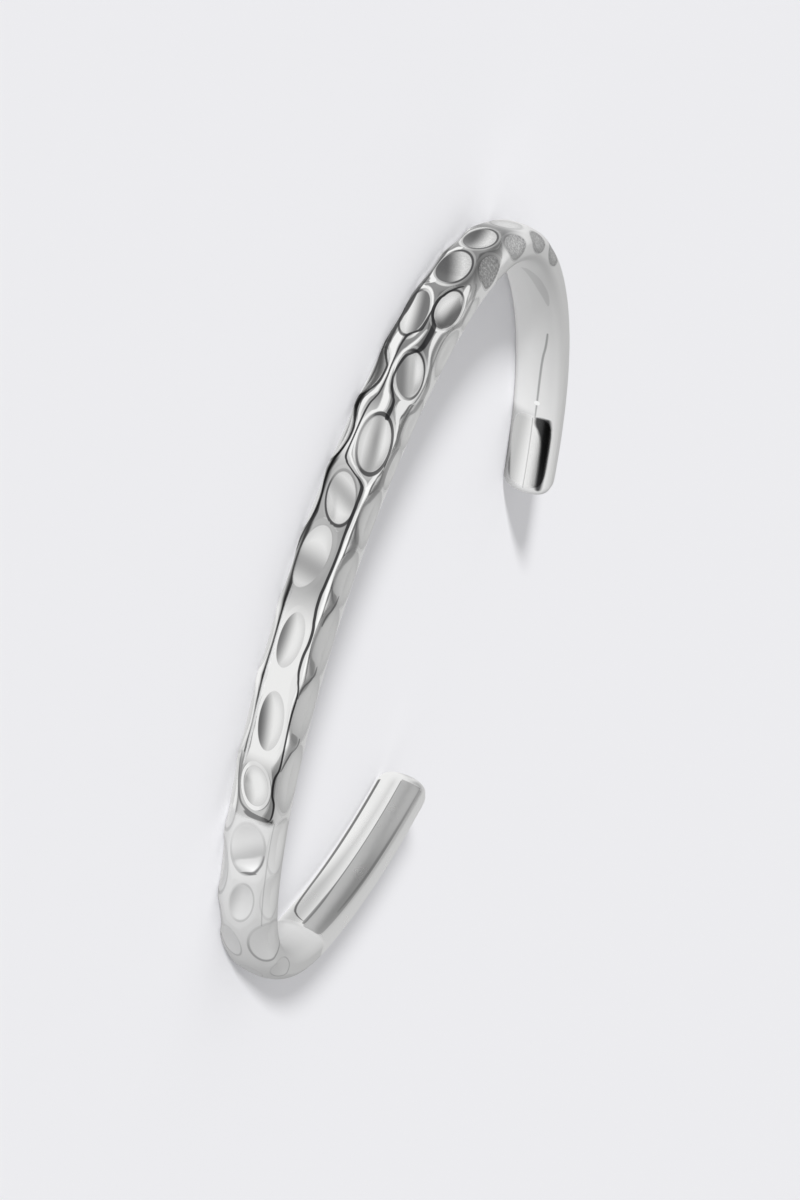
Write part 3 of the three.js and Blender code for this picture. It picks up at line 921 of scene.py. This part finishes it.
class ShaderTree(Tree):
    """A node tree of a material or of the world, cleared of its first nodes."""

    def __init__(self, owner):
        owner.use_nodes = True
        owner.node_tree.nodes.clear()
        super().__init__(owner.node_tree)

    def named(self, name):
        node = self.node("ShaderNodeAttribute", attribute_name=name, attribute_type="GEOMETRY")
        return node.outputs["Fac"]

    def noise(self, vector, scale, detail, roughness):
        inputs = {"Vector": vector, "Scale": scale, "Detail": detail, "Roughness": roughness}
        return self.node("ShaderNodeTexNoise", inputs).outputs[0]

    def blend(self, first, second, share):
        """The number at a share of the way from the first to the second."""
        return self.node("ShaderNodeMix", {0: share, 2: first, 3: second}).outputs[0]

    def tint(self, first, second, share):
        """The colour at a share of the way from the first to the second."""
        inputs = {0: share, 6: first, 7: second}
        return self.node("ShaderNodeMix", inputs, data_type="RGBA").outputs[2]

    def window(self, value, start, stop, edge):
        """Is 1 between start and stop, and fades to 0 over an edge centred on each."""
        half = edge / 2
        rise = self.ramp(value, start - half, start + half)
        fall = self.ramp(value, stop - half, stop + half, 1.0, 0.0)
        return self.times(rise, fall)

    def graph(self, value, points):
        """A number that follows a table of (value, number) points."""
        first, last = points[0][0], points[-1][0]
        numbers = [number for value, number in points]
        low = min(numbers)
        span = max(max(numbers) - low, SMALLEST_RANGE)
        share = self.over(self.take(value, first), last - first)
        curve = self.node("ShaderNodeFloatCurve", {"Value": share})
        knots = curve.mapping.curves[0].points
        places = [((x - first) / (last - first), (y - low) / span) for x, y in points]
        knots[0].location = places[0]
        knots[1].location = places[-1]
        for place in places[1:-1]:
            knots.new(*place)
        curve.mapping.update()
        return self.add(self.times(curve.outputs[0], span), low)

    def stroke(self, along, across, places, edge):
        """Is 1 on a stroke along the bar, and fades to 0 over its edge."""
        middle = self.graph(along, [(place, height) for place, height, half in places])
        half = self.graph(along, [(place, half) for place, height, half in places])
        away = self.math("ABSOLUTE", self.take(across, middle))
        share = self.over(self.take(away, half), edge)
        inside = self.ramp(share, -0.5, 0.5, 1.0, 0.0)
        return self.times(inside, self.window(along, places[0][0], places[-1][0], edge))

    def patch(self, along, across, middle, halves, power):
        """Is 1 on a round patch of the surface, squarer with more power, and fades at its rim."""
        away = 0.0
        for value, centre, half in zip((along, across), middle, halves):
            share = self.math("ABSOLUTE", self.over(self.take(value, centre), half))
            away = self.add(away, self.math("POWER", share, power))
        return self.ramp(away, 1 - PATCH_EDGE, 1 + PATCH_EDGE, 1.0, 0.0)

    def bump(self, height, normal=None):
        """Height is in metres."""
        inputs = {"Height": height, "Distance": 1.0}
        if normal is not None:
            inputs["Normal"] = normal
        return self.node("ShaderNodeBump", inputs)

    def angles(self, vector):
        """The elevation, and the azimuth from -Y towards +X, of a direction, in degrees."""
        x, y, z = self.parts(vector)
        elevation = self.math("DEGREES", self.math("ARCSINE", z))
        azimuth = self.math("DEGREES", self.math("ARCTAN2", x, self.times(y, -1.0)))
        return elevation, azimuth


def frosted(t, along, across, patch):
    """How far the silver is frosted on the left bend and on the right one."""
    rise = t.least(t.most(0.0, t.take(across, FROST_RISE)), FROST_WIDTH)
    slanted = t.take(along, t.times(rise, FROST_SLANT))
    left = t.thinned(t.window(slanted, *LEFT_FROST_WINDOW), patch)
    return left, t.window(along, *RIGHT_FROST_WINDOW)


def lips(t, cup):
    """The outline of painted shade and the bead of painted highlight round each mark, by its lit
    side.
    """
    lip = t.named("lip")
    lit_side = t.ramp(t.named("lit"), *LIT_SIDE_SPAN, *LIT_SIDE_SHARES)
    outline = t.times(t.window(cup, *OUTLINE_WINDOW), t.times(lip, lit_side))
    outline = t.most(0.0, t.least(1.0, outline))
    bead = t.times(t.window(cup, *BEAD_WINDOW), t.take(BEAD_SHARE, lit_side))
    bead = t.least(1.0, t.times(bead, t.math("ABSOLUTE", lip)))
    return outline, t.times(bead, t.ramp(lip, *STRONG_LIP_SPAN, 1.0, STRONG_LIP_BEAD))


def ribbons(t, along, across):
    """Painted highlights: the bright ribbons between the marks."""
    ribbon = 0.0
    for places in LIGHT_STROKES:
        ribbon = t.most(ribbon, t.stroke(along, across, places, RIBBON_EDGE))
    return ribbon


def painted_land_shade(t, along, across, cloud, frost, bright):
    """How far the lands of the crown are darkened by painted shade between the marks."""
    shoulder = t.times(t.window(along, *SHOULDER_WINDOW), SHOULDER_SHADE)
    middle = t.times(t.window(along, *MIDDLE_WINDOW), MIDDLE_SHADE)
    last = t.times(t.window(along, *LAST_WINDOW), LAST_SHADE)
    land_shade = t.add(t.add(shoulder, middle), t.thinned(last, frost))
    crown = t.ramp(across, *CROWN_SPAN, 1.0, 0.0)
    land_shade = t.times(land_shade, t.thinned(crown, bright))
    return t.times(land_shade, t.add(1 - SHADE_CLOUD / 2, t.times(cloud, SHADE_CLOUD)))


def frost_shade(t, along, across, off_crown):
    """How dark the frost is, on each side of the back and on the inner face, lifted by the
    painted highlight of the crescent.
    """
    right_side = t.ramp(along, *SIDE_SPAN)
    outer = t.blend(*FROST_DARKNESS, right_side)
    inner = t.blend(*INNER_FROST_DARKNESS, right_side)
    darkness = t.blend(outer, inner, t.ramp(off_crown, *INNER_SPAN))
    crescent = t.times(t.stroke(along, across, CRESCENT, CRESCENT_SOFTNESS), CRESCENT_SHINE)
    return t.thinned(darkness, crescent)


def drawn_dark(t, shine, along, heights):
    """The shine with the dark strokes of painted shade and painted dark reflection drawn on it.
    Heights holds across, girth and off crown.
    """
    across, girth, off_crown = heights
    outer_face = t.ramp(off_crown, *OUTER_SPAN, 1.0, 0.0)
    arm_face = t.ramp(off_crown, *ARM_SPAN)
    faces = ((across, outer_face, DARK_STROKES), (girth, arm_face, ARM_STROKES))
    for height, face, strokes in faces:
        for places, darkness, edge in strokes:
            stroke = t.times(t.stroke(along, height, places, edge), face)
            shine = t.thinned(shine, t.times(stroke, darkness))
    return shine


def silver_material():
    """Silver: polished lands and satin cups, with painted shade in the hollows and between the
    marks, painted dark reflections and painted highlights, and frosted bends.
    """
    material = bpy.data.materials.new("polished_silver")
    t = ShaderTree(material)
    place = t.node("ShaderNodeTexCoord").outputs["Object"]
    along, across, girth, off_crown = map(t.named, ("along", "across", "girth", "off_crown"))
    cup = t.named("cup")
    inside = t.ramp(cup, *CUP_RIM_SPAN)
    satin = t.times(inside, t.named("satin"))
    patch = t.patch(along, girth, *TIP_PATCH)
    left_frost, right_frost = frosted(t, along, across, patch)
    under_satin = t.stroke(along, across, UNDER_SATIN, UNDER_SATIN_EDGE)
    frost = t.most(under_satin, t.add(left_frost, right_frost))
    outline, bead = lips(t, cup)
    # Painted highlights: the beads and the ribbons lift the painted shade between the marks.
    bright = t.most(bead, ribbons(t, along, across))

    cloud = t.noise(place, *CLOUD_NOISE)
    grain = t.noise(place, *GRAIN_NOISE)
    strip = t.node("ShaderNodeCombineXYZ", {0: along, 1: across})
    drawn = t.node("ShaderNodeVectorMath", {0: strip, 1: SCRATCH_STRETCH}, operation="MULTIPLY")
    scratch = t.ramp(t.noise(drawn, *SCRATCH_NOISE), *SCRATCH_SPAN)

    layers = (
        (FOLD_ROUGHNESS, t.stroke(along, across, FOLD, FOLD_EDGE)),
        (CUP_ROUGHNESS, satin),
        (TIP_ROUGHNESS, patch),
        (ARM_ROUGHNESS, t.window(along, *ARM_WINDOW)),
        (FROST_ROUGHNESS, frost),
    )
    roughness = LAND_ROUGHNESS
    for rougher, share in layers:
        roughness = t.blend(roughness, rougher, share)
    roughness = t.add(roughness, t.times(t.take(cloud, 0.5), CLOUD_ROUGHNESS))
    roughness = t.add(roughness, t.times(scratch, SCRATCH_ROUGHNESS))

    # Painted shade on the lands between the marks, lifted where the painted highlights lie.
    land_shade = painted_land_shade(t, along, across, cloud, frost, bright)
    shade = t.times(t.rest(right_frost), CUP_SHADE)
    shade = t.times(t.ramp(cup, *CUP_SHADE_SPAN, 1.0, 0.0), shade)
    # Inside the cups, the painted side shade or the painted shade towards the rim, whichever is
    # darker.
    dark = t.blend(land_shade, t.most(t.named("patina"), shade), inside)
    facet = t.times(t.window(along, *FACET_WINDOW), satin)
    speckle = t.add(FACET_DARKNESS, t.times(t.ramp(grain, *SPECKLE_SPAN), SPECKLE))
    shine = t.thinned(t.rest(dark), t.times(speckle, facet))
    # Painted shade: the outline darkens the rim of each mark.
    shine = t.thinned(shine, t.times(outline, OUTLINE_DARKNESS))
    shine = t.thinned(shine, t.times(frost, frost_shade(t, along, across, off_crown)))
    shine = drawn_dark(t, shine, along, (across, girth, off_crown))
    # Painted highlight: a small spot kept at full shine.
    shine = t.most(shine, t.patch(along, girth, *HIGHLIGHT_SPOT))

    lipped = t.bump(t.take(t.times(bright, BEAD_HEIGHT), t.times(outline, GROOVE_DEPTH)))
    grained = t.bump(t.times(t.times(grain, satin), GRAIN_HEIGHT), lipped)
    inputs = {
        "Base Color": t.tint(DARK_TONE, SILVER_TONE, shine),
        "Metallic": t.blend(1.0, FROST_METALLIC, frost),
        "Roughness": roughness,
        "Normal": t.bump(t.times(scratch, -SCRATCH_DEPTH), grained),
    }
    surface = t.node("ShaderNodeBsdfPrincipled", inputs)
    t.node("ShaderNodeOutputMaterial", {"Surface": surface})
    return material


def floor_material():
    """A plain pale sheet. The silver sees it as light and dark rings round the bangle."""
    material = bpy.data.materials.new("pale_floor")
    t = ShaderTree(material)
    place = t.node("ShaderNodeTexCoord").outputs["Object"]
    half_x, half_y = CAD_BOX[1][:2]
    inputs = {0: place, 1: (1 / half_x, 1 / half_y, 0.0)}
    scaled = t.node("ShaderNodeVectorMath", inputs, operation="MULTIPLY")
    reach = t.node("ShaderNodeVectorMath", {0: scaled}, operation="LENGTH").outputs["Value"]
    azimuth = t.angles(place)[1]
    light = t.blend(*FLOOR_OUTER_LIGHTS, t.ramp(azimuth, *FLOOR_OUTER_SPAN))
    left = t.blend(*FLOOR_LEFT_LIGHTS, t.ramp(reach, *FLOOR_LEFT_SPAN))
    light = t.blend(light, left, t.window(azimuth, *FLOOR_LEFT_WINDOW))
    light = t.blend(FLOOR_INNER_LIGHT, light, t.ramp(reach, *FLOOR_BAR_SPAN))
    contact = t.blend(*CONTACT_LIGHTS, t.ramp(azimuth, *CONTACT_SPAN))
    light = t.blend(light, contact, t.window(reach, *CONTACT_WINDOW))
    mirrored = t.node("ShaderNodeEmission", {"Color": STUDIO_TONE, "Strength": light})
    seen = t.node("ShaderNodeBsdfDiffuse", {"Color": FLOOR_TONE})
    glossy = t.node("ShaderNodeLightPath").outputs["Is Glossy Ray"]
    surface = t.node("ShaderNodeMixShader", {0: glossy, 1: seen, 2: mirrored})
    t.node("ShaderNodeOutputMaterial", {"Surface": surface})
    return material


def studio():
    """Light all round: bright in front and on the left, dark high in front and on the right."""
    world = bpy.data.worlds.new("studio")
    t = ShaderTree(world)
    elevation, azimuth = t.angles(t.node("ShaderNodeTexCoord").outputs["Generated"])
    light = t.blend(*TOP_LIGHTS, t.ramp(elevation, *TOP_SPAN))
    for low, high, level_edge, left, right, side_edge, strength in STUDIO_AREAS:
        level = t.window(elevation, low, high, level_edge)
        side = t.window(azimuth, left, right, side_edge)
        light = t.blend(light, strength, t.times(level, side))
    background = t.node("ShaderNodeBackground", {"Color": STUDIO_TONE, "Strength": light})
    t.node("ShaderNodeOutputWorld", {"Surface": background})
    return world


# ------------------------------------------------------------------ surroundings

def floor():
    """The sheet that the bangle lies on, kept out of the part."""
    corners = [(x, y, 0.0) for x, y in ((-1, -1), (1, -1), (1, 1), (-1, 1))]
    mesh = bpy.data.meshes.new("floor")
    mesh.from_pydata([Vector(corner) * FLOOR_REACH for corner in corners], [], [(0, 1, 2, 3)])
    mesh.materials.append(floor_material())
    sheet = bpy.data.objects.new("floor", mesh)
    bpy.context.scene.collection.objects.link(sheet)
    sheet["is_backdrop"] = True


def heading(azimuth, elevation):
    """The unit vector at an azimuth from -Y towards +X and an elevation, in degrees."""
    azimuth, elevation = math.radians(azimuth), math.radians(elevation)
    level = math.cos(elevation)
    return Vector((math.sin(azimuth) * level, -math.cos(azimuth) * level, math.sin(elevation)))


def key_light():
    """A far light with soft shadows, which the silver doesn't mirror."""
    light = bpy.data.lights.new("key", "SUN")
    light.angle = math.radians(KEY_SPREAD)
    light.energy = KEY_STRENGTH
    obj = bpy.data.objects.new("key", light)
    place = heading(KEY_AZIMUTH, KEY_ELEVATION) * KEY_DISTANCE
    turn = place.to_track_quat("Z", "Y")
    obj.matrix_world = Matrix.Translation(place) @ turn.to_matrix().to_4x4()
    obj.visible_glossy = False
    bpy.context.scene.collection.objects.link(obj)


def photographer():
    """The camera, by its angles round the point that it looks at."""
    azimuth, roll = math.radians(CAMERA_AZIMUTH), math.radians(CAMERA_ROLL)
    back = heading(CAMERA_AZIMUTH, CAMERA_ELEVATION)
    level = Vector((math.cos(azimuth), math.sin(azimuth), 0.0))
    upright = back.cross(level)
    right = level * math.cos(roll) + upright * math.sin(roll)
    top = back.cross(right)
    camera = bpy.data.objects.new("camera", bpy.data.cameras.new("camera"))
    camera.data.lens = LENS
    camera.data.clip_start = CAMERA_CLIP
    turn = Matrix((right, top, back)).transposed().to_4x4()
    place = Vector(LOOK_AT) + back * CAMERA_DISTANCE
    camera.matrix_world = Matrix.Translation(place) @ turn
    bpy.context.scene.collection.objects.link(camera)
    bpy.context.scene.camera = camera


# ------------------------------------------------------------------ the scene

photographer()
bangle = hammered_bar(silver_material())
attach(bangle, "root")
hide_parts("cuff")

floor()
key_light()
bpy.context.scene.world = studio()
bpy.context.scene.view_settings.view_transform = "Standard"

{"cad": CAD_BOX, "looks": plain(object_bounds())}
